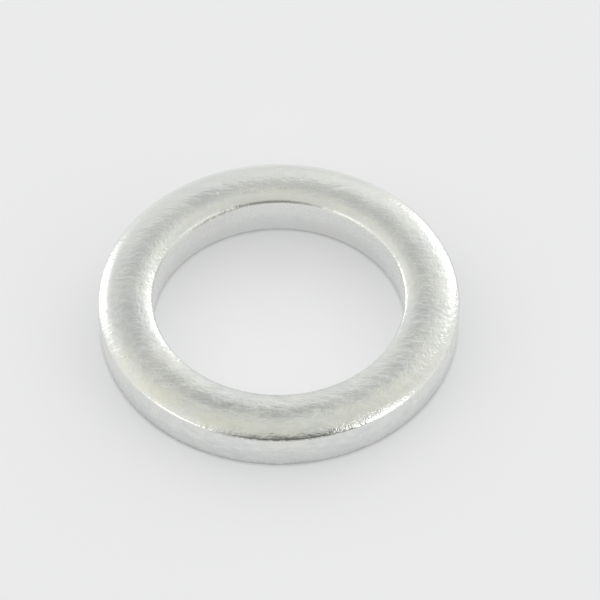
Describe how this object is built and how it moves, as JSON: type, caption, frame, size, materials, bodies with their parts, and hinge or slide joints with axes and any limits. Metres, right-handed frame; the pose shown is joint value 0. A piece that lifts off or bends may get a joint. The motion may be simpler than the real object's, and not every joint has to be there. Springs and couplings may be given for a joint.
{
  "type": "plain ring washer",
  "caption": "Thick, narrow ring washer with a crowned upper face, rolled-over edges, a flat underside and a plain round bore; sits on a pin or shaft as a spacer or bearing ring.",
  "frame": {"origin": "centre of the flat underside, on the bore's axis", "axes": "+Z along the bore's axis, from the flat underside to the crowned face; X and Y are free, because the ring is round"},
  "size_m": [0.039, 0.039, 0.0054],
  "materials": {
    "plated_steel": "satin, zinc-plated and tumbled, with a fine straight grain"
  },
  "bodies": {
    "root": {"washer": "plated_steel"}
  },
  "joints": []
}
